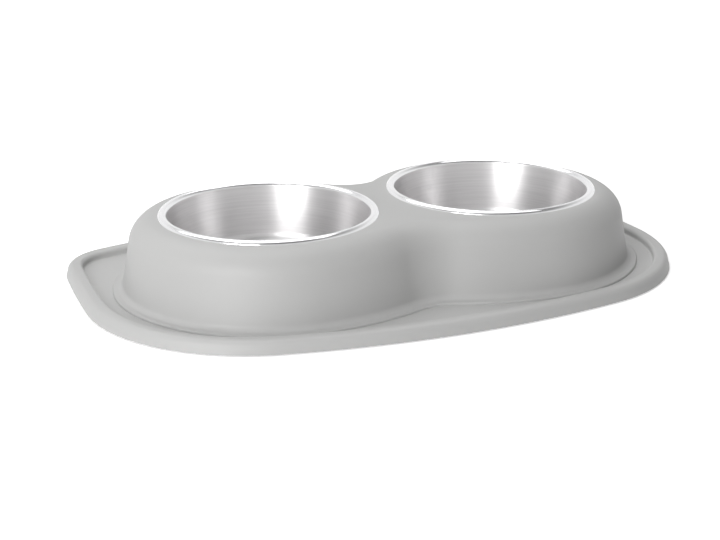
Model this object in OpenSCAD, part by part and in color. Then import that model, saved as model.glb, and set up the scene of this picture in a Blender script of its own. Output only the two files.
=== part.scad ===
// Double pet feeder: a moulded stand with a drip mat and a raised riser,
// two deep-drawn steel bowls that hang in it by their rolled rims, and rubber feet.
// The bowls lift straight up out of the stand for washing.
// Origin: on the ground, in the middle of the stand's length and width.
// X runs along the line of the bowls, +Y points to the rear, where the mat's corners are tighter.

/* [Bowls] */
// Outer diameter of the rolled rim
bowl_d = 165; // [150:1:166]
// Distance between the two bowls' centres
bowl_spacing = 185.5; // [183:0.5:200]
// Depth from the top of the rim to the inside of the floor
bowl_depth = 48; // [34:1:50]
// Thickness of the steel sheet
steel_t = 0.9; // [0.6:0.1:1.5]
// Width of the rolled rim
rim_w = 7; // [5:0.5:9]
// Height of the rolled rim above the deck
rim_h = 2.4; // [1.8:0.1:3]
// Slope of the bowl's wall from upright, in degrees
bowl_draft = 8; // [2:1:14]
// Inside radius between the bowl's wall and floor
bowl_corner_r = 10; // [6:1:18]

/* [Riser] */
// Height of the deck above the ground
deck_h = 59.4; // [57:0.1:75]
// Wall thickness of the moulding
wall_t = 2.4; // [1.8:0.1:3]
// Radius of the riser's round ends, at the foot of the wall
end_r = 110.5; // [110.5:0.5:114]
// Radius of the curved front flanks, between an end and the waist
front_flank_r = 194; // [150:1:230]
// Radius of the hollow of the waist at the front
front_waist_r = 50; // [30:1:70]
// Radius of the curved rear flanks
rear_flank_r = 116; // [112:1:190]
// Radius of the hollow of the waist at the rear
rear_waist_r = 12; // [12:1:40]
// Radius of the shoulder between the wall and the deck
shoulder_r = 20.9; // [16:0.1:21.5]
// Slope of the wall from upright, in degrees
riser_draft = 10; // [4:0.5:10]
// Radius of the hollow at the foot of the wall
foot_fillet_r = 5; // [2:0.5:6]
// Width of the low step that runs round the foot of the wall
step_w = 7.5; // [6.5:0.5:8]
// Height of that step above the mat
step_h = 1.8; // [1:0.1:2.4]
// Radius of the step's edge
step_edge_r = 1.2; // [0.4:0.1:1.4]

/* [Mat] */
// Distance from the foot of the riser's wall to each end of the mat
end_margin = 31.25; // [31:0.25:60]
// Distance from the foot of the riser's wall to the front edge
front_margin = 37; // [36:0.5:60]
// Distance from the foot of the riser's wall to the rear edge
rear_margin = 37; // [36:0.5:60]
// Radius of the two front corners
front_corner_r = 130; // [100:1:132]
// Radius of the two rear corners
rear_corner_r = 46; // [40:1:70]
// Radius of the bowed front edge
front_bow_r = 640; // [500:10:1200]
// Radius of the bowed rear edge
rear_bow_r = 700; // [500:10:1200]
// Radius of the slightly bowed ends
end_bow_r = 1150; // [700:10:4000]
// Height of the mat's top face above the ground
mat_h = 4.4; // [4.4:0.1:6]
// Height of the lip round the mat above the ground
lip_h = 10.2; // [9:0.1:12]
// Width of the lip
lip_w = 13; // [12:0.5:14]
// Slope of the lip's outer face from upright, in degrees
lip_draft = 15; // [5:1:20]
// Outer radius of the lip's crest
lip_outer_r = 5; // [3:0.5:5]
// Inner radius of the lip's crest
lip_inner_r = 3; // [1:0.5:3]
// Radius of the hollow between the lip and the mat
lip_foot_r = 1.2; // [0.6:0.1:2]
// Height of the lip's lower edge above the ground
ground_gap = 1; // [0.8:0.1:1.4]

/* [Wells and ribs] */
// Gap between a bowl's wall and its well
well_clearance = 1; // [0.6:0.1:1.4]
// Depth of the collar that stiffens the edge of a well
collar_h = 10; // [6:1:16]
// Thickness of the collar
collar_t = 2; // [1.5:0.1:2.5]
// Thickness of the ribs under the deck
rib_t = 1.8; // [1.2:0.1:2.4]
// Height of the ribs' lower ends above the ground
rib_bottom = 20; // [14:1:34]
// Number of ribs under each round end
rib_count = 5; // [3:1:9]
// Angle from the first rib to the last, seen from the bowl's centre
rib_span = 140; // [100:5:160]
// Height of the web across the waist
web_h = 14; // [8:1:24]

/* [Feet] */
// Diameter of a rubber foot
foot_d = 18; // [14:1:20]
// Edge radius of a rubber foot
foot_edge_r = 1; // [0.5:0.1:1.2]
// Gap between a foot and its socket
foot_clearance = 0.2; // [0.1:0.05:0.4]
// Thickness of the socket's wall
socket_t = 1.6; // [1.2:0.1:2]
// Distance from the foot of the riser's wall to the middle of a rubber foot
foot_offset = 11.5; // [11:0.5:13]
// Direction of the corner feet from a bowl's centre, in degrees from the bowls' line
foot_angle = 45; // [30:5:60]

/* [Hidden] */
// Largest gap between a curve and its chords
curve_tolerance = 0.05;
// Largest gap between a plate's straight sides and the outline that they follow
plate_tolerance = 0.5;
// How far joined faces reach into each other
lap = 3;
// How far a cut runs past the face that it opens
overrun = 1;
// Facets of a full turn
$fn = 180;

bowl_x = bowl_spacing / 2;
rim_top = deck_h + rim_h;
bowl_floor_z = rim_top - bowl_depth;

// Arch of the rolled rim: a circle through both of its edges and its crest
arch_r = (pow(rim_w / 2, 2) + pow(rim_h, 2)) / (2 * rim_h);
arch_x = bowl_d / 2 - rim_w / 2;
arch_z = rim_top - arch_r;
arch_end = asin((deck_h - arch_z) / arch_r);
arch_inner_end = asin((deck_h - arch_z) / (arch_r - steel_t));

// Corner of the bowl: a circle that touches the sloping wall and the floor
corner_z = bowl_floor_z + bowl_corner_r;
wall_top = [arch_x - arch_r * cos(bowl_draft), arch_z + arch_r * sin(bowl_draft)];
corner_x = wall_top.x
    - (bowl_corner_r - (corner_z - wall_top.y) * sin(bowl_draft)) / cos(bowl_draft);
well_r = arch_x - (arch_r - steel_t) + well_clearance;

// Levels of the moulding
mat_under = mat_h - wall_t;
step_z = mat_h + step_h;
deck_under = deck_h - wall_t;

// The shoulder's centre, counted outward from the foot of the wall
shoulder_x = -crest_inset(deck_h - shoulder_r - step_z, shoulder_r, riser_draft);
shoulder_z = deck_h - shoulder_r;
fillet_x = foot_fillet_r * (1 - sin(riser_draft)) / cos(riser_draft);

// The crest's centre, counted outward from the mat's edge
crest_x = -crest_inset(lip_h - lip_outer_r - ground_gap, lip_outer_r, lip_draft);
crest_z = lip_h - lip_outer_r;

// Plan of the riser: end arcs, flank arcs and waist arcs that touch each other. Each joint's
// angle is kept to hundredths of a degree, and the radius that follows from it is used
front_flank_y = front_flank_r - end_r;
front_turn = waist_turn(front_flank_r, front_waist_r);
front_hollow_r = bowl_x / sin(front_turn) - front_flank_r;
front_hollow_y = bowl_x / tan(front_turn) - front_flank_y;
front_waist_y = front_hollow_y - front_hollow_r;
rear_flank_y = rear_flank_r - end_r;
rear_turn = waist_turn(rear_flank_r, rear_waist_r);
rear_hollow_r = bowl_x / sin(rear_turn) - rear_flank_r;
rear_hollow_y = bowl_x / tan(rear_turn) - rear_flank_y;
rear_waist_y = rear_hollow_y - rear_hollow_r;

// Plan of the mat: the corners touch the bowed front and rear edges and the bowed ends
mat_end = bowl_x + end_r + end_margin;
front_corner_x = mat_end - front_corner_r;
front_angle = hundredths(asin(front_corner_x / (front_bow_r - front_corner_r)));
front_edge_r = front_corner_r + front_corner_x / sin(front_angle);
front_edge_y = front_edge_r - end_r - front_margin;
front_corner_y = front_edge_y - front_corner_x / tan(front_angle);
end_bow_x = mat_end - end_bow_r;
rear_bow_y = end_r + rear_margin - rear_bow_r;
end_reach = end_bow_r - rear_corner_r;
rear_meeting = meeting_point([end_bow_x, front_corner_y], end_reach,
    [0, rear_bow_y], rear_bow_r - rear_corner_r);
end_angle = hundredths(atan2(rear_meeting.y - front_corner_y, rear_meeting.x - end_bow_x));
rear_angle = hundredths(atan2(rear_meeting.x, rear_meeting.y - rear_bow_y));
rear_corner_x = end_bow_x + end_reach * cos(end_angle);
rear_corner_y = front_corner_y + end_reach * sin(end_angle);
rear_corner_turn = 90 - rear_angle - end_angle;
rear_edge_r = rear_corner_r + rear_corner_x / sin(rear_angle);
rear_edge_y = rear_corner_y - rear_corner_x / tan(rear_angle);
bowl_y = (end_r + front_margin - rear_edge_y - rear_edge_r) / 2;

// Each arc: centre x, centre y, radius, first angle, turn, and 1 where it bulges outward
riser_arcs = [
    [bowl_x, 0, end_r, -90, 180, 1],
    [bowl_x, -rear_flank_y, rear_flank_r, 90, rear_turn, 1],
    [0, rear_hollow_y, rear_hollow_r, -90 - rear_turn, 2 * rear_turn, -1],
    [-bowl_x, -rear_flank_y, rear_flank_r, 90 - rear_turn, rear_turn, 1],
    [-bowl_x, 0, end_r, 90, 180, 1],
    [-bowl_x, front_flank_y, front_flank_r, -90, front_turn, 1],
    [0, -front_hollow_y, front_hollow_r, 90 - front_turn, 2 * front_turn, -1],
    [bowl_x, front_flank_y, front_flank_r, -90 - front_turn, front_turn, 1]
];
mat_arcs = [
    [end_bow_x, front_corner_y, end_bow_r, 0, end_angle, 1],
    [rear_corner_x, rear_corner_y, rear_corner_r, end_angle, rear_corner_turn, 1],
    [0, rear_edge_y, rear_edge_r, 90 - rear_angle, 2 * rear_angle, 1],
    [-rear_corner_x, rear_corner_y, rear_corner_r, 90 + rear_angle, rear_corner_turn, 1],
    [-end_bow_x, front_corner_y, end_bow_r, 180 - end_angle, end_angle, 1],
    [-front_corner_x, front_corner_y, front_corner_r, 180, 90 - front_angle, 1],
    [0, front_edge_y, front_edge_r, -90 - front_angle, 2 * front_angle, 1],
    [front_corner_x, front_corner_y, front_corner_r, front_angle - 90, 90 - front_angle, 1]
];

foot_ring_r = end_r + foot_offset;
foot_top = mat_under;
socket_r = foot_d / 2 + foot_clearance + socket_t;

// How far a crest's centre lies inside the foot of a sloping face of height h
function crest_inset(h, r, draft) = (r + h * sin(draft)) / cos(draft);

// How far a flank turns before it meets the hollow of the waist
function waist_turn(flank_r, waist_r) = hundredths(asin(bowl_x / (flank_r + waist_r)));
function hundredths(angle) = round(angle * 100) / 100;

// Outer point at distance r from p and s from q
function meeting_point(p, r, q, s) =
    let (
        gap = norm(q - p),
        ahead = (q - p) / gap,
        along = (pow(r, 2) - pow(s, 2) + pow(gap, 2)) / (2 * gap),
        aside = sqrt(pow(r, 2) - pow(along, 2))
    ) p + along * ahead + aside * [-ahead.y, ahead.x];

// How many chords of an arc keep within a gap of it
function arc_steps(r, turn, gap) = max(2, ceil(abs(turn) / (2 * acos(1 - gap / r))));

// Points along an arc
function arc(x, y, r, from, to) =
    let (steps = arc_steps(r, to - from, curve_tolerance))
    [for (i = [0:steps]) let (a = from + (to - from) * i / steps) [x + r * cos(a), y + r * sin(a)]];

// Points amid the chords of a plan arc that is moved outward by offset, in the outline's order
function plan_points(a, offset) =
    let (r = a[2] + a[5] * offset, steps = arc_steps(r, a[4], plate_tolerance))
    [for (i = [1:steps])
        let (share = (i - 1 / 2) / steps, angle = a[3] + a[4] * (a[5] > 0 ? share : 1 - share))
        [a[0] + r * cos(angle), a[1] + r * sin(angle)]];

// Area inside a plan outline that is moved outward by offset. Its sides are hidden in the flat laps
// of the swept sections, so they are straight, with no corner where two arcs meet
module plan(arcs, offset) {
    polygon([for (a = arcs) each plan_points(a, offset)]);
}

// A section, drawn outward from x = 0, swept along each arc of a plan outline
module sweep_arcs(arcs) {
    for (a = arcs) exact_move([a[0], a[1]])
        rotate_extrude(angle = a[4], start = a[3])
            exact_move([a[2], 0]) scale_side(a[5]) children();
}

// A move in whole millimetres, in thousandths and in what is left. Each number is written out with
// six digits, so three moves keep what one would round off, and the ends of two arcs meet exactly
module exact_move(v) {
    whole = [for (c = v) floor(c)];
    fine = [for (c = v - whole) round(c * 1000) / 1000];
    translate(whole) translate(fine) translate(v - whole - fine) children();
}

// Turns a section round for an arc that bulges inward
module scale_side(side) {
    if (side > 0) children();
    else mirror([1, 0]) children();
}

// Section of the riser's shell: low step, hollow foot, sloping wall, shoulder and deck edge.
// x is counted outward from the foot of the wall
module riser_section() {
    polygon(concat(
        [[step_w + lap, mat_under], [step_w + lap, mat_h], [step_w, mat_h]],
        arc(step_w - step_edge_r, step_z - step_edge_r, step_edge_r, 0, 90),
        arc(fillet_x, step_z + foot_fillet_r, foot_fillet_r, 270, 180 + riser_draft),
        arc(shoulder_x, shoulder_z, shoulder_r, riser_draft, 90),
        [[shoulder_x - lap, deck_h], [shoulder_x - lap, deck_under]],
        arc(shoulder_x, shoulder_z, shoulder_r - wall_t, 90, riser_draft),
        [[(step_z - mat_under) * tan(riser_draft) - wall_t / cos(riser_draft), mat_under]]
    ));
}

// Section of the lip round the mat: sloping outer face, rounded crest, drop to the mat.
// x is counted outward from the mat's edge
module lip_section() {
    lip_inside = lip_w - wall_t;
    polygon(concat(
        [[0, ground_gap]],
        arc(crest_x, crest_z, lip_outer_r, lip_draft, 90),
        arc(lip_inner_r - lip_w, lip_h - lip_inner_r, lip_inner_r, 90, 180),
        arc(-lip_w - lip_foot_r, mat_h + lip_foot_r, lip_foot_r, 0, -90),
        [[-lip_w - lap, mat_h], [-lip_w - lap, mat_under], [-lip_inside, mat_under]],
        [[-lip_inside, lip_h - wall_t]],
        arc(crest_x, crest_z, lip_outer_r - wall_t, 90, lip_draft),
        [[-wall_t / cos(lip_draft), ground_gap]]
    ));
}

// Section of a bowl: floor, rounded corner, sloping wall and rolled rim, in one thickness of sheet
module bowl_section() {
    polygon(concat(
        [[0, bowl_floor_z]],
        arc(corner_x, corner_z, bowl_corner_r, -90, -bowl_draft),
        arc(arch_x, arch_z, arch_r, 180 - bowl_draft, arch_end),
        arc(arch_x, arch_z, arch_r - steel_t, arch_inner_end, 180 - bowl_draft),
        arc(corner_x, corner_z, bowl_corner_r + steel_t, -bowl_draft, -90),
        [[0, bowl_floor_z - steel_t]]
    ));
}

// Flat rib in a vertical plane through a bowl's centre: it follows the middle of the shell
module rib_section() {
    middle = wall_t / 2;
    polygon(concat(
        [[well_r + collar_t / 2, deck_h - middle]],
        arc(end_r + shoulder_x, shoulder_z, shoulder_r - middle, 90, riser_draft),
        [[end_r - middle / cos(riser_draft) - (rib_bottom - step_z) * tan(riser_draft), rib_bottom]],
        [[well_r + collar_t / 2, deck_h - collar_h + collar_t]]
    ));
}

// Web across the waist, from one shoulder to the other
module waist_web() {
    front = front_waist_y + shoulder_x + lap;
    rear = rear_waist_y + shoulder_x + lap;
    translate([-rib_t / 2, -front, deck_h - wall_t / 2 - web_h])
        cube([rib_t, front + rear, web_h]);
}

module ribs(side) {
    for (i = [0:rib_count - 1])
        rotate(90 - side * 90 + rib_span * (i / max(1, rib_count - 1) - 1 / 2))
            translate([0, rib_t / 2, 0]) rotate([90, 0, 0]) linear_extrude(rib_t) rib_section();
}

// Ring under the mat that holds a rubber foot
module foot_socket() {
    translate([0, 0, ground_gap]) difference() {
        cylinder(h = mat_under - ground_gap + wall_t / 2, r = socket_r);
        translate([0, 0, -overrun]) cylinder(h = mat_under - ground_gap + overrun, r = socket_r - socket_t);
    }
}

function corner_foot(x_side, y_side) = [
    x_side * (bowl_x + foot_ring_r * cos(foot_angle)), y_side * foot_ring_r * sin(foot_angle)
];
function middle_foot(y_side) = [0, y_side * (front_waist_y + foot_offset)];
foot_places = [
    corner_foot(-1, -1), middle_foot(-1), corner_foot(1, -1),
    corner_foot(-1, 1), middle_foot(1), corner_foot(1, 1)
];

module riser_shell() {
    sweep_arcs(riser_arcs) riser_section();
    translate([0, 0, deck_under]) linear_extrude(wall_t) plan(riser_arcs, shoulder_x - lap / 2);
}

module lip() {
    sweep_arcs(mat_arcs) lip_section();
}

module mat_floor() {
    translate([0, 0, mat_under]) linear_extrude(wall_t) difference() {
        plan(mat_arcs, -lip_w - lap / 2);
        plan(riser_arcs, step_w + lap / 2);
    }
}

module feeder_stand() {
    color("#b4b4b4") translate([0, bowl_y, 0]) {
        difference() {
            union() {
                riser_shell();
                mat_floor();
                lip();
                waist_web();
                for (side = [-1, 1]) translate([side * bowl_x, 0, 0]) {
                    ribs(side);
                    translate([0, 0, deck_h - collar_h])
                        cylinder(h = collar_h - wall_t / 2, r = well_r + collar_t);
                }
            }
            for (side = [-1, 1]) translate([side * bowl_x, 0, 0]) cylinder(h = deck_h + overrun, r = well_r);
        }
        for (p = foot_places) translate(p) foot_socket();
    }
}

module bowl(side) {
    color("#d2d2d4") translate([side * bowl_x, bowl_y, 0]) rotate_extrude() bowl_section();
}

module rubber_foot(p) {
    color("#3a3a3a") translate([p.x, p.y + bowl_y, 0]) rotate_extrude() polygon(concat(
        [[0, 0]],
        arc(foot_d / 2 - foot_edge_r, foot_edge_r, foot_edge_r, -90, 0),
        [[foot_d / 2, foot_top], [0, foot_top]]
    ));
}

feeder_stand();
bowl(-1);  // left_bowl
bowl(1);  // right_bowl
rubber_foot(foot_places[0]);  // front_left_foot
rubber_foot(foot_places[1]);  // front_middle_foot
rubber_foot(foot_places[2]);  // front_right_foot
rubber_foot(foot_places[3]);  // rear_left_foot
rubber_foot(foot_places[4]);  // rear_middle_foot
rubber_foot(foot_places[5]);  // rear_right_foot
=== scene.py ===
# %% [markdown]
# # A double pet feeder, dressed in Blender
#
# The real product is three kinds of thing. A light grey plastic moulding makes the drip mat and
# the riser in one piece. Two deep-drawn steel bowls hang in it by their rolled rims. Six rubber
# feet keep it off the floor.
#
# The CAD part already has the right sizes and the right motion, so this script never moves it.
# It loads the part as a fixed frame, builds finer meshes of the same shapes round it, gives them
# finishes made of shader nodes, and sets up a floor, lamps and a camera.

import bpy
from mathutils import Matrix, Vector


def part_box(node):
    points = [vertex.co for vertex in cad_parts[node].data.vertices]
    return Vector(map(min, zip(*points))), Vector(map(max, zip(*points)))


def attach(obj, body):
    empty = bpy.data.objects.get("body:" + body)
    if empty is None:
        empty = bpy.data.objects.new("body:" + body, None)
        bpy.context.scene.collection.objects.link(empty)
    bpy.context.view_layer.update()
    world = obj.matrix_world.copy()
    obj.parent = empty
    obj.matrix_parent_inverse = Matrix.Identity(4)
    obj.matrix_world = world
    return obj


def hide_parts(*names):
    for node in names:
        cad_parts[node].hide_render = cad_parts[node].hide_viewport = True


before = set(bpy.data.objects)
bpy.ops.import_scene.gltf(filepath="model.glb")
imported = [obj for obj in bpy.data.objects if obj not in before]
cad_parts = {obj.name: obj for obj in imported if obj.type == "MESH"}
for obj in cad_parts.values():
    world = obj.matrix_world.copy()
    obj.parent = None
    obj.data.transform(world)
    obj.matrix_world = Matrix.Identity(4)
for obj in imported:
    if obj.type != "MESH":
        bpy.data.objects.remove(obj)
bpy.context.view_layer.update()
print("CAD nodes:", ", ".join(sorted(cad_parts)))

# %% Everything else that the script uses
import math

import bmesh
import bpy
from mathutils import Matrix, Vector
from mathutils.geometry import tessellate_polygon

MM = 0.001
scene = bpy.context.scene

# %% [markdown]
# ## Sizes
#
# All shapes below are drawn in millimetres, because that is how a moulding or a pressed bowl is
# drawn in a workshop. One helper turns them into metres when a mesh is made. The places of the
# bowls are measured from the frame, further down, so the meshes always sit on the CAD part.

# %% Sizes of the pressed bowls
bowl_d = 165.0
rim_w = 7.0
rim_h = 2.4
steel_t = 0.9
bowl_depth = 48.0
bowl_draft = 8.0
bowl_corner_r = 10.0

# %% Sizes of the moulded stand
deck_h = 59.4
wall_t = 2.4
end_r = 110.5
front_flank_r = 194.0
front_waist_r = 50.0
rear_flank_r = 116.0
rear_waist_r = 12.0
shoulder_r = 20.9
riser_draft = 10.0
foot_fillet_r = 5.0
step_w = 7.5
step_h = 1.8
step_edge_r = 1.2
end_margin = 31.25
front_margin = 37.0
rear_margin = 37.0
front_corner_r = 130.0
rear_corner_r = 46.0
front_bow_r = 640.0
rear_bow_r = 700.0
end_bow_r = 1150.0
mat_h = 4.4
lip_h = 10.2
lip_w = 13.0
lip_draft = 15.0
lip_outer_r = 5.0
lip_inner_r = 3.0
lip_foot_r = 1.2
ground_gap = 1.0
well_clearance = 1.0
well_edge_r = 0.6
collar_h = 10.0
collar_t = 2.0
rib_t = 1.8
rib_bottom = 20.0
rib_count = 5
rib_span = 140.0
web_h = 14.0
web_reach = 3.0

# %% Sizes of the rubber feet
foot_d = 18.0
foot_edge_r = 1.0
foot_clearance = 0.2
socket_t = 1.6
foot_offset = 11.5
foot_angle = 45.0

# %% Measure the frame
stand_low, stand_high = [[v / MM for v in corner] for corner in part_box("feeder_stand")]
bowl_x = stand_high[0] - end_r - end_margin
bowl_y = stand_low[1] + end_r + front_margin
print(f"bowls at x = +-{bowl_x:.2f}, y = {bowl_y:.2f} mm")

# %% [markdown]
# ## Small drawing tools
#
# A pressed or moulded shape is a section that is swept along a path. A bowl's path is a circle.
# The stand's paths are the outlines of its riser and of its mat, which are chains of arcs that
# touch each other without a kink. So two helpers do most of the work: one lists the points of an
# arc, and one walks round a chain of arcs and notes which way is outward at each stop. Moving a
# stop outward keeps arcs as arcs, so a wall drawn this way has the same thickness everywhere.

# %% Points of an arc
curve_gap = 0.012


def arc_steps(radius, turn, gap=curve_gap):
    """How many chords keep within the gap of a curve."""
    if radius <= gap:
        return 1
    step = 2 * math.acos(1 - gap / radius)
    return max(2, math.ceil(abs(math.radians(turn)) / step))


def arc(cx, cz, radius, start, end, gap=curve_gap):
    """Points along an arc in the plane of a section, in degrees from start to end."""
    steps = arc_steps(radius, end - start, gap)
    angles = [math.radians(start + (end - start) * i / steps) for i in range(steps + 1)]
    return [(cx + radius * math.cos(a), cz + radius * math.sin(a)) for a in angles]


# %% A walk round a chain of arcs
def walk(arcs, gap=curve_gap):
    """Stops along an outline: x, y and the outward direction at each."""
    stops = []
    for cx, cy, radius, start, turn, bulge in arcs:
        steps = arc_steps(radius, turn, gap)
        for i in range(steps + 1):
            share = i / steps if bulge > 0 else 1 - i / steps
            a = math.radians(start + turn * share)
            nx, ny = bulge * math.cos(a), bulge * math.sin(a)
            stop = (cx + radius * math.cos(a), cy + radius * math.sin(a), nx, ny)
            if not stops or math.dist(stop[:2], stops[-1][:2]) > curve_gap:
                stops.append(stop)
    if math.dist(stops[0][:2], stops[-1][:2]) < curve_gap:
        stops.pop()
    return stops


# %% [markdown]
# ## A mesh builder
#
# The stand's skin is made of rings that follow the outlines, and of flat areas between them with
# holes for the wells and the feet. The builder below keeps one list of points and hands out the
# numbers of each new ring, so that a ring is shared by the two surfaces that meet there. That
# gives one closed skin with no doubled points, which shades cleanly and prints cleanly.

# %% The builder
class Skin:
    def __init__(self):
        self.points = []
        self.faces = []

    def ring(self, stops, outward, height):
        """One loop of points, moved outward from the stops."""
        first = len(self.points)
        self.points += [(x + nx * outward, y + ny * outward, height) for x, y, nx, ny in stops]
        return list(range(first, len(self.points)))

    def band(self, a, b):
        """Four-sided faces between two rings of the same count."""
        n = len(a)
        self.faces += [(a[i], a[(i + 1) % n], b[(i + 1) % n], b[i]) for i in range(n)]

    def sweep(self, stops, section, first=None):
        """Rings for each point of a section, joined in turn. Returns the last ring."""
        last = first
        for outward, height in section:
            ring = self.ring(stops, outward, height)
            if last:
                self.band(last, ring)
            last = ring
        return last

    def flat(self, *loops):
        """A flat area inside the first loop, with the other loops as holes."""
        numbers = [i for loop in loops for i in loop]
        outlines = [[Vector(self.points[i]) for i in loop] for loop in loops]
        self.faces += [tuple(numbers[i] for i in tri) for tri in tessellate_polygon(outlines)]

    def slab(self, outline, to_space):
        """A plate of even thickness: an outline in a plane, drawn at both of its faces."""
        sides = []
        for side in (-1, 1):
            first = len(self.points)
            self.points += [to_space(u, v, side) for u, v in outline]
            sides.append(list(range(first, len(self.points))))
        self.band(*sides)
        self.faces += [tuple(sides[0]), tuple(reversed(sides[1]))]


# %% From a skin to a Blender object
sharp_angle = math.radians(32)


def make_piece(name, skin, material, place=(0, 0, 0)):
    """A mesh in metres round its own place. Soft curves are shaded smooth and corners stay sharp."""
    mesh = bpy.data.meshes.new(name)
    bm = bmesh.new()
    points = [bm.verts.new(Vector(p) * MM - Vector(place)) for p in skin.points]
    for face in skin.faces:
        bm.faces.new([points[i] for i in face])
    bmesh.ops.recalc_face_normals(bm, faces=bm.faces)
    for face in bm.faces:
        face.smooth = True
    for edge in bm.edges:
        edge.smooth = edge.calc_face_angle(math.pi) < sharp_angle
    open_edges = sum(not edge.is_manifold for edge in bm.edges)
    bm.to_mesh(mesh)
    bm.free()
    mesh.materials.append(material)
    piece = bpy.data.objects.new(name, mesh)
    piece.location = place
    scene.collection.objects.link(piece)
    print(f"{name}: {len(mesh.polygons)} faces, {open_edges} open edges")
    return piece


# %% [markdown]
# ## Finishes, part one: shared effects
#
# Three effects turn up in more than one finish, so each is a shader node group that is built once
# and placed with its own values.
#
# * Fine grain is the faint tooth that a textured mould or a rubber press leaves.
# * Handling is the slight unevenness of a surface that has been touched, rinsed and wiped.
# * Turned lines are the rings that a polishing wheel leaves on a spinning bowl. They follow the
#   distance from the bowl's axis plus the height, which grows steadily from the middle of the floor
#   up to the rim, so one formula draws rings on the floor and on the wall.

# %% A helper for node groups
socket_kinds = {"value": "NodeSocketFloat", "colour": "NodeSocketColor", "vector": "NodeSocketVector"}


def new_group(name, inputs, outputs):
    """An empty shader group. Inputs are (name, kind, default) and outputs are (name, kind)."""
    group = bpy.data.node_groups.new(name, "ShaderNodeTree")
    for label, kind, default in inputs:
        socket = group.interface.new_socket(label, in_out="INPUT", socket_type=socket_kinds[kind])
        socket.default_value = default
    for label, kind in outputs:
        group.interface.new_socket(label, in_out="OUTPUT", socket_type=socket_kinds[kind])
    return group, group.nodes.new("NodeGroupInput"), group.nodes.new("NodeGroupOutput")


def add_node(tree, kind, settings=None, **inputs):
    """A node with its settings and its inputs, which may be values or other nodes' sockets."""
    node = tree.nodes.new(kind)
    for key, value in (settings or {}).items():
        setattr(node, key, value)
    for key, value in inputs.items():
        slot = node.inputs[int(key[1:])] if key[0] == "i" and key[1:].isdigit() else node.inputs[key]
        if isinstance(value, bpy.types.NodeSocket):
            tree.links.new(value, slot)
        else:
            slot.default_value = value
    return node


def maths(tree, operation, *values):
    """One sum, with values or sockets."""
    inputs = {f"i{i}": v for i, v in enumerate(values)}
    return add_node(tree, "ShaderNodeMath", {"operation": operation}, **inputs).outputs[0]


# %% Fine grain
grain, grain_in, grain_out = new_group(
    "Fine grain",
    [("Position", "vector", (0, 0, 0)), ("Grain Size", "value", 0.0006)],
    [("Height", "value")],
)
grain_scale = maths(grain, "DIVIDE", 1.0, grain_in.outputs["Grain Size"])
fine = add_node(grain, "ShaderNodeTexNoise", Vector=grain_in.outputs["Position"],
                Scale=grain_scale, Detail=2.0, Roughness=0.6)
grain.links.new(fine.outputs["Fac"], grain_out.inputs["Height"])
print("group made:", grain.name)

# %% Handling
handling, handling_in, handling_out = new_group(
    "Handling",
    [("Position", "vector", (0, 0, 0)), ("Colour", "colour", (1, 1, 1, 1)),
     ("Colour Change", "value", 0.03), ("Base Roughness", "value", 0.5),
     ("Roughness Change", "value", 0.06), ("Patch Size", "value", 0.08)],
    [("Colour", "colour"), ("Roughness", "value")],
)
patch_scale = maths(handling, "DIVIDE", 1.0, handling_in.outputs["Patch Size"])
patches = add_node(handling, "ShaderNodeTexNoise", Vector=handling_in.outputs["Position"],
                   Scale=patch_scale, Detail=4.0, Roughness=0.55)
swing = maths(handling, "SUBTRACT", patches.outputs["Fac"], 0.5)
shade = maths(handling, "MULTIPLY_ADD", swing, handling_in.outputs["Colour Change"], 1.0)
tint = add_node(handling, "ShaderNodeVectorMath", {"operation": "SCALE"},
                i0=handling_in.outputs["Colour"], Scale=shade)
rough = maths(handling, "MULTIPLY_ADD", swing, handling_in.outputs["Roughness Change"],
              handling_in.outputs["Base Roughness"])
handling.links.new(tint.outputs[0], handling_out.inputs["Colour"])
handling.links.new(rough, handling_out.inputs["Roughness"])
print("group made:", handling.name)

# %% Turned lines
turned, turned_in, turned_out = new_group(
    "Turned lines",
    [("Position", "vector", (0, 0, 0)), ("Line Width", "value", 0.0012),
     ("Arc Breaks", "value", 1.2)],
    [("Fine Shade", "value"), ("Wide Shade", "value")],
)
parts = add_node(turned, "ShaderNodeSeparateXYZ", Vector=turned_in.outputs["Position"])
side_x, side_y, up = parts.outputs
across = maths(turned, "SQRT", maths(turned, "ADD", maths(turned, "MULTIPLY", side_x, side_x),
                                     maths(turned, "MULTIPLY", side_y, side_y)))
along_sheet = maths(turned, "ADD", across, up)
round_x = maths(turned, "MULTIPLY", maths(turned, "DIVIDE", side_x, across),
                turned_in.outputs["Arc Breaks"])
round_y = maths(turned, "MULTIPLY", maths(turned, "DIVIDE", side_y, across),
                turned_in.outputs["Arc Breaks"])
line_place = maths(turned, "DIVIDE", along_sheet, turned_in.outputs["Line Width"])
ring_space = add_node(turned, "ShaderNodeCombineXYZ", X=round_x, Y=round_y, Z=line_place)
lines = add_node(turned, "ShaderNodeTexNoise", Vector=ring_space.outputs[0],
                 Scale=1.0, Detail=3.0, Roughness=0.65)
wide_lines = add_node(turned, "ShaderNodeTexNoise", Vector=ring_space.outputs[0],
                      Scale=0.23, Detail=1.0, Roughness=0.5)
turned.links.new(lines.outputs["Fac"], turned_out.inputs["Fine Shade"])
turned.links.new(wide_lines.outputs["Fac"], turned_out.inputs["Wide Shade"])
print("group made:", turned.name)

# %% [markdown]
# ## Finishes, part two: the materials
#
# Every material starts from a Principled shader. What varies over the surface comes from the
# groups above, and what is the same everywhere is set on the shader itself.

# %% A helper for materials
def new_material(name, **settings):
    """A material with a Principled shader, its Position and the settings that don't vary."""
    material = bpy.data.materials.new(name)
    material.use_nodes = True
    tree = material.node_tree
    shader = tree.nodes["Principled BSDF"]
    for key, value in settings.items():
        shader.inputs[key.replace("_", " ")].default_value = value
    position = add_node(tree, "ShaderNodeTexCoord").outputs["Object"]
    return material, tree, shader, position


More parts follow.
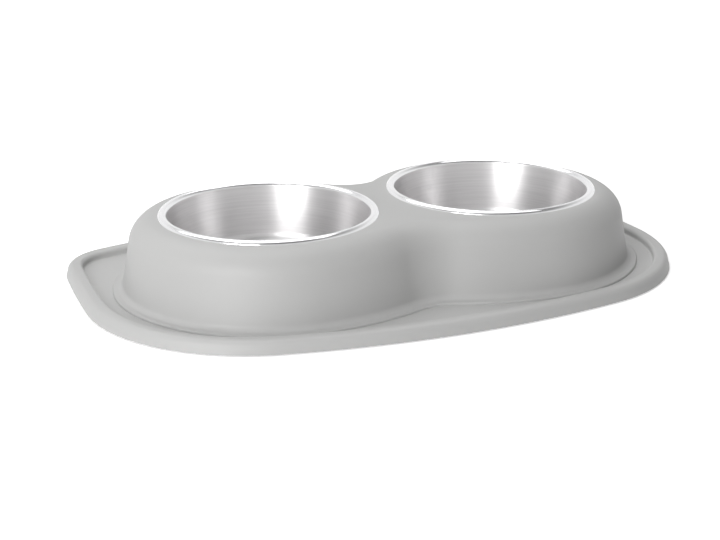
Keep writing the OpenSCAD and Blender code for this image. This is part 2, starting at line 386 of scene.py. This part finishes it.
def add_group(tree, group, **inputs):
    """A group placed in a material. Underscores in names stand for spaces."""
    node = tree.nodes.new("ShaderNodeGroup")
    node.node_tree = group
    for key, value in inputs.items():
        slot = node.inputs[key.replace("_", " ")]
        if isinstance(value, bpy.types.NodeSocket):
            tree.links.new(value, slot)
        else:
            slot.default_value = value
    return node


def add_relief(tree, shader, height, depth, strength=1.0):
    """A Bump node that feeds the shader's normal. Depth is in metres."""
    bump = add_node(tree, "ShaderNodeBump", Height=height, Distance=depth, Strength=strength)
    tree.links.new(bump.outputs[0], shader.inputs["Normal"])


# %% [markdown]
# ### Moulded plastic
#
# The stand is a light, neutral grey polypropylene with a matt, very slightly satin skin. A high
# roughness gives the broad soft sheen on the shoulders, and the grain breaks it up when seen close.

# %% Moulded plastic
plastic_grey = (0.53, 0.53, 0.525, 1)
plastic, tree, shader, position = new_material("moulded grey plastic", IOR=1.5)
touched = add_group(tree, handling, Position=position, Colour=plastic_grey, Colour_Change=0.05,
                    Base_Roughness=0.5, Roughness_Change=0.08, Patch_Size=0.07)
tree.links.new(touched.outputs["Colour"], shader.inputs["Base Color"])
tree.links.new(touched.outputs["Roughness"], shader.inputs["Roughness"])
tooth = add_group(tree, grain, Position=position, Grain_Size=0.0007)
add_relief(tree, shader, tooth.outputs["Height"], 0.00002, 0.35)
print("material made:", plastic.name)

# %% [markdown]
# ### Steel, brushed inside and polished at the rim
#
# Both are the same bare steel. Inside the bowl the wheel left rings, and a ringed surface spreads
# a highlight across the rings: on the wall that makes the tall bright bands that bowls show. The
# shader's anisotropy does the spreading, with its direction taken from the bowl's axis. The rings
# show as faint streaks in the colour and the roughness. They are far too shallow for a bump, which
# would only give stray bright specks here. The rim is buffed, so it mirrors the room more sharply.

# %% Steel
streak_share = 0.25


def new_steel(name, colour, roughness, roughness_change, anisotropy, line_width):
    material, tree, shader, position = new_material(
        name, Metallic=1.0, Anisotropic=anisotropy, Anisotropic_Rotation=0.25)
    touched = add_group(tree, handling, Position=position, Colour=colour, Colour_Change=0.06,
                        Base_Roughness=roughness, Roughness_Change=roughness_change,
                        Patch_Size=0.03)
    rings = add_group(tree, turned, Position=position, Line_Width=line_width)
    uneven = maths(tree, "MULTIPLY_ADD", maths(tree, "SUBTRACT", rings.outputs["Wide Shade"], 0.5),
                   roughness_change, touched.outputs["Roughness"])
    tree.links.new(uneven, shader.inputs["Roughness"])
    direction = add_node(tree, "ShaderNodeTangent", {"direction_type": "RADIAL", "axis": "Z"})
    tree.links.new(direction.outputs[0], shader.inputs["Tangent"])
    streaks = maths(tree, "MULTIPLY_ADD", maths(tree, "SUBTRACT", rings.outputs["Fine Shade"], 0.5),
                    streak_share, 1.0)
    streaked = add_node(tree, "ShaderNodeVectorMath", {"operation": "SCALE"},
                        i0=touched.outputs["Colour"], Scale=streaks)
    tree.links.new(streaked.outputs[0], shader.inputs["Base Color"])
    print("material made:", name)
    return material


brushed_steel = new_steel("brushed bowl steel", (0.66, 0.652, 0.655, 1), roughness=0.37,
                          roughness_change=0.10, anisotropy=0.6, line_width=0.0016)
polished_steel = new_steel("polished rim steel", (0.83, 0.83, 0.84, 1), roughness=0.16,
                           roughness_change=0.04, anisotropy=0.3, line_width=0.0006)

# %% [markdown]
# ### Rubber
#
# The feet are black rubber. They hide under the mat, so they only need a dull dark skin.

# %% Rubber
rubber, tree, shader, position = new_material("foot rubber", IOR=1.5)
touched = add_group(tree, handling, Position=position, Colour=(0.05, 0.05, 0.05, 1),
                    Colour_Change=0.2, Base_Roughness=0.75, Roughness_Change=0.1, Patch_Size=0.01)
tree.links.new(touched.outputs["Colour"], shader.inputs["Base Color"])
tree.links.new(touched.outputs["Roughness"], shader.inputs["Roughness"])
tooth = add_group(tree, grain, Position=position, Grain_Size=0.0005)
add_relief(tree, shader, tooth.outputs["Height"], 0.00003, 0.5)
print("material made:", rubber.name)

# %% [markdown]
# ## The outlines of the stand
#
# Seen from above, the riser is two round ends joined by curved flanks that dip into a hollow at
# the waist, shallow in front and deep at the rear. The mat is bowed on all four sides, with big
# front corners and tighter rear ones. Each arc below starts where the one before it ends, and both
# point the same way there. That is what lets the shoulder run round the riser as one clean
# highlight. As in the CAD part, each joint's angle is kept to hundredths of a degree, and the
# radius or the centre that follows from it is used.

# %% The riser's outline
sine, cosine, tangent = [lambda a, f=f: f(math.radians(a)) for f in (math.sin, math.cos, math.tan)]


def hundredths(radians):
    """The same angle in degrees, rounded."""
    return round(math.degrees(radians), 2)


def waist(flank_r, waist_r):
    """The turn of a flank, then the hollow's radius and centre."""
    turn = hundredths(math.asin(bowl_x / (flank_r + waist_r)))
    return turn, bowl_x / sine(turn) - flank_r, bowl_x / tangent(turn) - flank_r + end_r


front_flank_y = front_flank_r - end_r
front_turn, front_hollow_r, front_hollow_y = waist(front_flank_r, front_waist_r)
front_waist_y = front_hollow_y - front_hollow_r
rear_flank_y = rear_flank_r - end_r
rear_turn, rear_hollow_r, rear_hollow_y = waist(rear_flank_r, rear_waist_r)
rear_waist_y = rear_hollow_y - rear_hollow_r
riser_arcs = [
    (bowl_x, 0, end_r, -90, 180, 1),
    (bowl_x, -rear_flank_y, rear_flank_r, 90, rear_turn, 1),
    (0, rear_hollow_y, rear_hollow_r, -90 - rear_turn, 2 * rear_turn, -1),
    (-bowl_x, -rear_flank_y, rear_flank_r, 90 - rear_turn, rear_turn, 1),
    (-bowl_x, 0, end_r, 90, 180, 1),
    (-bowl_x, front_flank_y, front_flank_r, -90, front_turn, 1),
    (0, -front_hollow_y, front_hollow_r, 90 - front_turn, 2 * front_turn, -1),
    (bowl_x, front_flank_y, front_flank_r, -90 - front_turn, front_turn, 1),
]

# %% The mat's outline
def meeting_point(p, r, q, s):
    """The outer point at distance r from p and s from q."""
    p, q = Vector(p), Vector(q)
    gap = (q - p).length
    ahead = (q - p) / gap
    along = (r ** 2 - s ** 2 + gap ** 2) / (2 * gap)
    return p + along * ahead + math.sqrt(r ** 2 - along ** 2) * Vector((-ahead.y, ahead.x))


mat_end = bowl_x + end_r + end_margin
front_corner_x = mat_end - front_corner_r
front_angle = hundredths(math.asin(front_corner_x / (front_bow_r - front_corner_r)))
front_edge_r = front_corner_r + front_corner_x / sine(front_angle)
front_edge_y = front_edge_r - end_r - front_margin
front_corner_y = front_edge_y - front_corner_x / tangent(front_angle)
end_bow_x = mat_end - end_bow_r
end_reach = end_bow_r - rear_corner_r
rear_bow_y = end_r + rear_margin - rear_bow_r
rear_reach = rear_bow_r - rear_corner_r
meeting = meeting_point((end_bow_x, front_corner_y), end_reach, (0, rear_bow_y), rear_reach)
end_angle = hundredths(math.atan2(meeting.y - front_corner_y, meeting.x - end_bow_x))
rear_angle = hundredths(math.atan2(meeting.x, meeting.y - rear_bow_y))
rear_corner_x = end_bow_x + end_reach * cosine(end_angle)
rear_corner_y = front_corner_y + end_reach * sine(end_angle)
rear_corner_turn = 90 - rear_angle - end_angle
rear_edge_r = rear_corner_r + rear_corner_x / sine(rear_angle)
rear_edge_y = rear_corner_y - rear_corner_x / tangent(rear_angle)
mat_arcs = [
    (end_bow_x, front_corner_y, end_bow_r, 0, end_angle, 1),
    (rear_corner_x, rear_corner_y, rear_corner_r, end_angle, rear_corner_turn, 1),
    (0, rear_edge_y, rear_edge_r, 90 - rear_angle, 2 * rear_angle, 1),
    (-rear_corner_x, rear_corner_y, rear_corner_r, 90 + rear_angle, rear_corner_turn, 1),
    (-end_bow_x, front_corner_y, end_bow_r, 180 - end_angle, end_angle, 1),
    (-front_corner_x, front_corner_y, front_corner_r, 180, 90 - front_angle, 1),
    (0, front_edge_y, front_edge_r, -90 - front_angle, 2 * front_angle, 1),
    (front_corner_x, front_corner_y, front_corner_r, front_angle - 90, 90 - front_angle, 1),
]


# %% Walk round both, and round a circle
def shifted(stops):
    """The outlines are drawn about the bowls' line, which lies bowl_y behind the middle."""
    return [(x, y + bowl_y, nx, ny) for x, y, nx, ny in stops]


def circle(x, y, radius, gap=curve_gap):
    return shifted(walk([(x, y, radius, 0, 360, 1)], gap))


def spindle(x, y, radius, gap=curve_gap):
    """Stops on an axis, with as many directions as a circle of that radius needs."""
    count = arc_steps(radius, 360, gap)
    turns = [2 * math.pi * i / count for i in range(count)]
    return shifted([(x, y, math.cos(a), math.sin(a)) for a in turns])


riser_stops = shifted(walk(riser_arcs))
mat_stops = shifted(walk(mat_arcs))
print(len(riser_stops), "stops round the riser and", len(mat_stops), "round the mat")

# %% [markdown]
# ## The moulded stand
#
# The real stand is one injection moulding, about 2.4 mm thick everywhere. The sections below give
# both of its faces. The top face rises over the lip, drops to the mat, climbs a low step and the
# riser's wall, and rolls over the shoulder onto the deck. The bottom face follows it from inside.

# %% Sections of the top face
def crest_inset(height, radius, draft):
    """How far a rounded top's centre lies inside the foot of its sloping face."""
    return (radius + height * sine(draft)) / cosine(draft)


step_z = mat_h + step_h
shoulder_z = deck_h - shoulder_r
shoulder_x = -crest_inset(shoulder_z - step_z, shoulder_r, riser_draft)
fillet_x = foot_fillet_r * (1 - sine(riser_draft)) / cosine(riser_draft)
crest_z = lip_h - lip_outer_r
crest_x = -crest_inset(crest_z - ground_gap, lip_outer_r, lip_draft)
flat_edge = 0.4

lip_top = (
    [(0, ground_gap)]
    + arc(crest_x, crest_z, lip_outer_r, lip_draft, 90)
    + arc(lip_inner_r - lip_w, lip_h - lip_inner_r, lip_inner_r, 90, 180)
    + arc(-lip_w - lip_foot_r, mat_h + lip_foot_r, lip_foot_r, 0, -90)
    + [(-lip_w - lip_foot_r - flat_edge, mat_h)]
)
riser_top = (
    [(step_w + flat_edge, mat_h), (step_w, mat_h)]
    + arc(step_w - step_edge_r, step_z - step_edge_r, step_edge_r, 0, 90)
    + arc(fillet_x, step_z + foot_fillet_r, foot_fillet_r, 270, 180 + riser_draft)
    + arc(shoulder_x, shoulder_z, shoulder_r, riser_draft, 90)
    + [(shoulder_x - flat_edge, deck_h)]
)
print(len(lip_top), "points in the lip's section and", len(riser_top), "in the riser's")

# %% Sections of the bottom face
mat_under = mat_h - wall_t
deck_under = deck_h - wall_t
lip_inside = lip_w - wall_t
lip_under = (
    [(-lip_inside, mat_under), (-lip_inside, lip_h - wall_t)]
    + arc(crest_x, crest_z, lip_outer_r - wall_t, 90, lip_draft)
    + [(-wall_t / cosine(lip_draft), ground_gap)]
)
riser_under = (
    arc(shoulder_x, shoulder_z, shoulder_r - wall_t, 90, riser_draft)
    + [((step_z - mat_under) * tangent(riser_draft) - wall_t / cosine(riser_draft), mat_under)]
)

# %% Where the feet go
foot_ring_r = end_r + foot_offset
foot_places = {
    f"{row}_{column}": (
        side * (bowl_x + foot_ring_r * cosine(foot_angle)) if side else 0,
        back * (foot_ring_r * sine(foot_angle) if side else front_waist_y + foot_offset),
    )
    for row, back in (("front", -1), ("rear", 1))
    for column, side in (("left", -1), ("middle", 0), ("right", 1))
}
socket_r = foot_d / 2 + foot_clearance + socket_t
for name, (x, y) in foot_places.items():
    print(f"{name} foot at {x:.1f}, {y + bowl_y:.1f} mm")

# %% The well's radius, from the bowl that hangs in it
rim_top = deck_h + rim_h
arch_r = ((rim_w / 2) ** 2 + rim_h ** 2) / (2 * rim_h)
arch_x = bowl_d / 2 - rim_w / 2
arch_z = rim_top - arch_r
well_r = arch_x - (arch_r - steel_t) + well_clearance

# %% Skin of the stand
stand = Skin()
lip_edge = stand.ring(mat_stops, *lip_top[0])
mat_inner = stand.sweep(mat_stops, lip_top[1:], lip_edge)
riser_foot = stand.ring(riser_stops, *riser_top[0])
stand.flat(mat_inner, riser_foot)
deck_edge = stand.sweep(riser_stops, riser_top[1:], riser_foot)
under_edge = stand.ring(riser_stops, *riser_under[0])
riser_hem = stand.sweep(riser_stops, riser_under[1:], under_edge)

# %% Wells with their collars
well_section = (
    [(flat_edge + well_edge_r, deck_h)]
    + arc(well_edge_r, deck_h - well_edge_r, well_edge_r, 90, 180)
    + [(0, deck_h - collar_h), (collar_t, deck_h - collar_h)]
)
top_holes, bottom_holes = [], []
for side in (-1, 1):
    stops = circle(side * bowl_x, 0, well_r)
    top = stand.ring(stops, *well_section[0])
    collar = stand.sweep(stops, well_section[1:], top)
    bottom = stand.sweep(stops, [(collar_t, deck_under)], collar)
    top_holes.append(top)
    bottom_holes.append(bottom)
stand.flat(deck_edge, *top_holes)
stand.flat(under_edge, *bottom_holes)

# %% Sockets for the feet
socket_loops = []
for x, y in foot_places.values():
    stops = circle(x, y, socket_r)
    loop = stand.ring(stops, 0, mat_under)
    inside = stand.sweep(stops, [(0, ground_gap), (-socket_t, ground_gap), (-socket_t, mat_under)], loop)
    stand.flat(inside)
    socket_loops.append(loop)
mat_hem = stand.ring(mat_stops, *lip_under[0])
stand.flat(mat_hem, riser_hem, *socket_loops)
lip_hem = stand.sweep(mat_stops, lip_under[1:], mat_hem)
stand.band(lip_hem, lip_edge)

# %% [markdown]
# Under the deck, thin ribs join the collar of each well to the outer wall, and a web crosses the
# waist. They stop the deck from sagging under a full bowl. They are plates, so each is drawn as
# an outline in its own plane and given its thickness. Its edges sink into the walls that it joins.

# %% Ribs and web
half_wall = wall_t / 2
rib_inner_x = well_r + collar_t / 2
rib_outer_x = end_r - half_wall / cosine(riser_draft) - (rib_bottom - step_z) * tangent(riser_draft)
rib_outline = (
    [(rib_inner_x, deck_h - half_wall)]
    + arc(end_r + shoulder_x, shoulder_z, shoulder_r - half_wall, 90, riser_draft)
    + [(rib_outer_x, rib_bottom), (rib_inner_x, deck_h - collar_h + collar_t)]
)
for side in (-1, 1):
    for i in range(rib_count):
        turn = 90 - side * 90 + rib_span * (i / (rib_count - 1) - 1 / 2)
        c, s = cosine(turn), sine(turn)

        def on_rib(u, v, face, side=side, c=c, s=s):
            half = face * rib_t / 2
            return side * bowl_x + u * c - half * s, bowl_y + u * s + half * c, v

        stand.slab(rib_outline, on_rib)
web_front = -(front_waist_y + shoulder_x + web_reach)
web_rear = rear_waist_y + shoulder_x + web_reach
web_top = deck_h - half_wall
web_bottom = web_top - web_h
web_outline = [(web_front, web_top), (web_rear, web_top), (web_rear, web_bottom), (web_front, web_bottom)]
stand.slab(web_outline, lambda u, v, face: (face * rib_t / 2, bowl_y + u, v))

# %% Make the stand and put it on its body
stand_piece = make_piece("moulded_stand", stand, plastic)
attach(stand_piece, "stand")
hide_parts("feeder_stand")

# %% [markdown]
# ## The steel bowls
#
# A bowl is pressed from one round sheet, so its section is one line with a constant thickness:
# floor, corner, sloping wall, and a rim that is rolled over outward. The section goes up the
# inside, over the rim and back down the outside, and is spun round the bowl's axis. The faces of
# the rim get the polished steel and the rest gets the brushed one.

# %% Section of a bowl
bowl_floor_z = rim_top - bowl_depth
corner_z = bowl_floor_z + bowl_corner_r
wall_end = (arch_x - arch_r * cosine(bowl_draft), arch_z + arch_r * sine(bowl_draft))
corner_x = wall_end[0] - (
    bowl_corner_r - (corner_z - wall_end[1]) * sine(bowl_draft)) / cosine(bowl_draft)
arch_end = math.degrees(math.asin((deck_h - arch_z) / arch_r))
arch_inner_end = math.degrees(math.asin((deck_h - arch_z) / (arch_r - steel_t)))
fine_gap = 0.004
bowl_section = (
    [(corner_x - flat_edge, bowl_floor_z)]
    + arc(corner_x, corner_z, bowl_corner_r, -90, -bowl_draft, fine_gap)
    + arc(arch_x, arch_z, arch_r, 180 - bowl_draft, arch_end, fine_gap)
    + arc(arch_x, arch_z, arch_r - steel_t, arch_inner_end, 180 - bowl_draft, fine_gap)
    + arc(corner_x, corner_z, bowl_corner_r + steel_t, -bowl_draft, -90, fine_gap)
    + [(corner_x - flat_edge, bowl_floor_z - steel_t)]
)
print(len(bowl_section), "points in the bowl's section")


# %% Make the bowls
def make_bowl(name, x):
    skin = Skin()
    stops = spindle(x, 0, bowl_d / 2, fine_gap)
    first = skin.ring(stops, *bowl_section[0])
    last = skin.sweep(stops, bowl_section[1:], first)
    skin.flat(first)
    skin.flat(last)
    piece = make_piece(name, skin, brushed_steel, (x * MM, bowl_y * MM, 0))
    piece.data.materials.append(polished_steel)
    polish_from = (arch_x - arch_r) * MM
    for face in piece.data.polygons:
        if math.hypot(*face.center[:2]) > polish_from and face.center.z > deck_h * MM:
            face.material_index = 1
    return piece


for name, side in (("left", -1), ("right", 1)):
    bowl = make_bowl(f"{name}_steel_bowl", side * bowl_x)
    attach(bowl, f"{name}_bowl_body")
    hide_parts(f"{name}_bowl")

# %% [markdown]
# ## The rubber feet
#
# Each foot is a plain disc with a rounded lower edge, pushed into its moulded ring.

# %% Make the feet
foot_section = (
    [(foot_d / 2 - foot_edge_r - flat_edge, 0)]
    + arc(foot_d / 2 - foot_edge_r, foot_edge_r, foot_edge_r, -90, 0, fine_gap)
    + [(foot_d / 2, mat_under)]
)
for name, (x, y) in foot_places.items():
    skin = Skin()
    stops = spindle(x, y, foot_d / 2)
    first = skin.ring(stops, *foot_section[0])
    last = skin.sweep(stops, foot_section[1:], first)
    skin.flat(first)
    skin.flat(last)
    foot = make_piece(f"{name}_rubber_foot", skin, rubber)
    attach(foot, "stand")
    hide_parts(f"{name}_foot")

# %% [markdown]
# ## Floor, lamps and camera
#
# A product shot on white needs a floor that reads as white but still shows where the object
# stands. The floor takes light and shadow like paper. What the camera and mirrors see of it is
# lifted by a glow that lights nothing, so only the shadow stays darker than white. The glow grows
# away from the object, where less of the lamps' light falls, and it fades under the stand, so the
# hollow below a raised bowl stays in shade. Seen from below the paper is clear, so the underside
# shows.

# %% Floor
floor_reach = 6.0
half_stand = [v * MM for v in stand_high[:2]]
near_glow = 0.5
glow_grows_from = 2.0
glow_full_at = 8.0
shaded_glow_share = 0.15
shade_until = 0.75
floor_mesh = bpy.data.meshes.new("floor")
bm = bmesh.new()
bmesh.ops.create_grid(bm, x_segments=8, y_segments=8, size=floor_reach)
bm.to_mesh(floor_mesh)
bm.free()
floor = bpy.data.objects.new("floor", floor_mesh)
scene.collection.objects.link(floor)

paper = bpy.data.materials.new("white paper")
paper.use_nodes = True
tree = paper.node_tree
tree.nodes.clear()
paths = add_node(tree, "ShaderNodeLightPath")
seen = maths(tree, "MINIMUM", 1.0, maths(tree, "ADD", paths.outputs["Is Camera Ray"], maths(
    tree, "ADD", paths.outputs["Is Glossy Ray"], paths.outputs["Is Transmission Ray"])))
matt = add_node(tree, "ShaderNodeBsdfDiffuse", Color=(0.9, 0.9, 0.9, 1))
stand_lengths = add_node(tree, "ShaderNodeVectorMath", {"operation": "DIVIDE"},
                         i0=add_node(tree, "ShaderNodeTexCoord").outputs["Object"], i1=(*half_stand, 1))
away = add_node(tree, "ShaderNodeVectorMath", {"operation": "LENGTH"},
                i0=stand_lengths.outputs[0]).outputs["Value"]
lift = add_node(tree, "ShaderNodeMapRange", i0=away, i1=glow_grows_from, i2=glow_full_at,
                i3=near_glow, i4=1.0)
under = add_node(tree, "ShaderNodeMapRange", i0=away, i1=shade_until, i2=1.0,
                 i3=shaded_glow_share, i4=1.0)
glow = add_node(tree, "ShaderNodeEmission", Color=(1, 1, 1, 1), Strength=maths(
    tree, "MULTIPLY", seen, maths(tree, "MULTIPLY", lift.outputs[0], under.outputs[0])))
both = add_node(tree, "ShaderNodeAddShader", i0=matt.outputs[0], i1=glow.outputs[0])
clear = add_node(tree, "ShaderNodeBsdfTransparent")
from_below = add_node(tree, "ShaderNodeNewGeometry").outputs["Backfacing"]
one_sided = add_node(tree, "ShaderNodeMixShader", i0=from_below, i1=both.outputs[0], i2=clear.outputs[0])
add_node(tree, "ShaderNodeOutputMaterial", Surface=one_sided.outputs[0])
floor.data.materials.append(paper)
print("floor made:", floor.name)

# %% [markdown]
# The world is plain white to the camera. Mirrors see white near the horizon and a dark ceiling
# above, because a bright room overhead would wash out the bands in the steel. It lights the object
# only faintly and leaves the shading to the two lamps.

# %% World
ceiling_starts = 0.35
ceiling_full_at = 0.95
ceiling_level = 0.15
fill_level = 0.13
world = bpy.data.worlds.new("studio")
scene.world = world
world.use_nodes = True
tree = world.node_tree
tree.nodes.clear()
paths = add_node(tree, "ShaderNodeLightPath")
mirrored = maths(tree, "MINIMUM", 1.0, maths(
    tree, "ADD", paths.outputs["Is Glossy Ray"], paths.outputs["Is Transmission Ray"]))
heading = add_node(tree, "ShaderNodeSeparateXYZ",
                   Vector=add_node(tree, "ShaderNodeTexCoord").outputs["Generated"])
ceiling = add_node(tree, "ShaderNodeMapRange", {"interpolation_type": "SMOOTHSTEP"},
                   i0=heading.outputs[2], i1=ceiling_starts, i2=ceiling_full_at, i3=1.0, i4=ceiling_level)
above_fill = maths(tree, "SUBTRACT", ceiling.outputs[0], fill_level)
room = maths(tree, "MULTIPLY_ADD", mirrored, above_fill, fill_level)
above_room = maths(tree, "SUBTRACT", 1.0, room)
level = maths(tree, "MULTIPLY_ADD", paths.outputs["Is Camera Ray"], above_room, room)
sky = add_node(tree, "ShaderNodeBackground", Color=(1, 1, 1, 1), Strength=level)
add_node(tree, "ShaderNodeOutputWorld", Surface=sky.outputs[0])
print("world made:", world.name)


# %% [markdown]
# Two square lamps do the work. The key stands low in front on the left, so the wall on that side is
# as light as the deck and the tall bands fall in the bowls. The top lamp is wide and hangs a little
# behind. Its width keeps it dim in a mirror, so a bowl seen from above still shows its brushed floor.

# %% Lamps
lamp_target = Vector((0, 0, 0.03))


def soft_box(name, place, size, watts):
    """A square lamp that points at the middle of the object."""
    data = bpy.data.lights.new(name, "AREA")
    data.shape = "SQUARE"
    data.size = size
    data.energy = watts
    lamp = bpy.data.objects.new(name, data)
    lamp.location = place
    lamp.rotation_euler = (lamp_target - Vector(place)).to_track_quat("-Z", "Y").to_euler()
    scene.collection.objects.link(lamp)
    print(f"{name} lamp: {size} m wide, {watts} W")


soft_box("key", (-1.35, -1.15, 0.62), size=1.0, watts=21)
soft_box("top", (-0.1, 0.6, 1.85), size=2.4, watts=31)

# %% [markdown]
# The camera's place comes from matching the photograph: a 70 mm lens from a little over a metre
# away, 19 degrees above the floor and 23 degrees to the left of straight ahead.

# %% Camera
camera_turn = math.radians(22.777)
camera_dip = math.radians(18.678)
camera_roll = math.radians(-0.101)
camera_reach = 1.0998
camera_target = Vector((-0.0147, 0.0106, 0.0))
camera_lens = 70
film_width = 36
sight_limit = 50
ahead = Vector((math.sin(camera_turn) * math.cos(camera_dip),
                math.cos(camera_turn) * math.cos(camera_dip), -math.sin(camera_dip)))
right = Vector((math.cos(camera_turn), -math.sin(camera_turn), 0))
above = right.cross(ahead)
rolled_right = right * math.cos(camera_roll) + above * math.sin(camera_roll)
rolled_above = above * math.cos(camera_roll) - right * math.sin(camera_roll)
camera_data = bpy.data.cameras.new("camera")
camera_data.lens = camera_lens
camera_data.sensor_width = film_width
camera_data.clip_end = sight_limit
camera = bpy.data.objects.new("camera", camera_data)
camera.matrix_world = Matrix.Translation(camera_target - ahead * camera_reach) @ Matrix(
    (rolled_right, rolled_above, -ahead)).transposed().to_4x4()
scene.collection.objects.link(camera)
scene.camera = camera
scene.view_settings.view_transform = "Standard"
print("camera at", [round(v, 3) for v in camera.matrix_world.translation])
